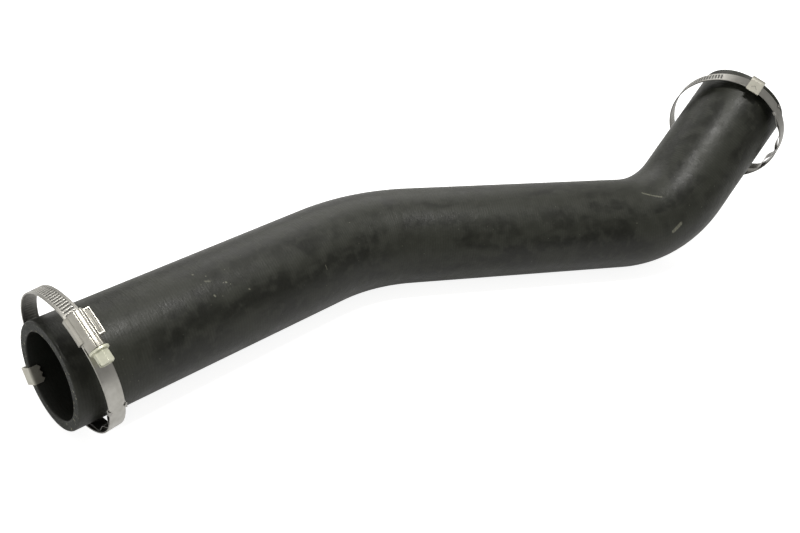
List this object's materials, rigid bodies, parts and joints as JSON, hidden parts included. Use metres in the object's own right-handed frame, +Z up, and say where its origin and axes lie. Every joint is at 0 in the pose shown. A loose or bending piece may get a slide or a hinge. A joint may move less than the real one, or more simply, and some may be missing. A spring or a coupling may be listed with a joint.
{
  "type": "charge air hose",
  "caption": "Moulded rubber charge air hose, bent out of plane, with an open worm drive clamp clipped on each cut end, ready to push over a pipe.",
  "frame": {"origin": "on the floor below the middle of the part's box, with the hose lying on its middle leg", "axes": "+Z up, +X along the hose from its near cut end towards its far one, +Y to the left of that"},
  "size_m": [0.531, 0.1778, 0.1308],
  "materials": {
    "hose_rubber": "matt",
    "band_steel": "satin",
    "housing_steel": "satin",
    "screw_zinc": "zinc plated",
    "liner_steel": "satin",
    "clip_steel": "satin"
  },
  "bodies": {
    "root": {"hose": "hose_rubber", "near_clamp_band": "band_steel", "near_clamp_housing": "housing_steel", "near_spring_liner": "liner_steel", "near_mounting_clip": "clip_steel", "far_clamp_band": "band_steel", "far_clamp_housing": "housing_steel", "far_spring_liner": "liner_steel", "far_mounting_clip": "clip_steel"},
    "near_screw_body": {"near_clamp_screw": "screw_zinc"},
    "far_screw_body": {"far_clamp_screw": "screw_zinc"}
  },
  "joints": [
    {"name": "near_screw", "type": "hinge", "parent": "root", "child": "near_screw_body", "pos_m": [-0.25232, 0.02542, 0.08138], "axis": [0.0662, -0.8754, -0.4788], "continuous": true},
    {"name": "far_screw", "type": "hinge", "parent": "root", "child": "far_screw_body", "pos_m": [0.23105, -0.02489, 0.04718], "axis": [0.2892, -0.8333, -0.4712], "continuous": true}
  ]
}
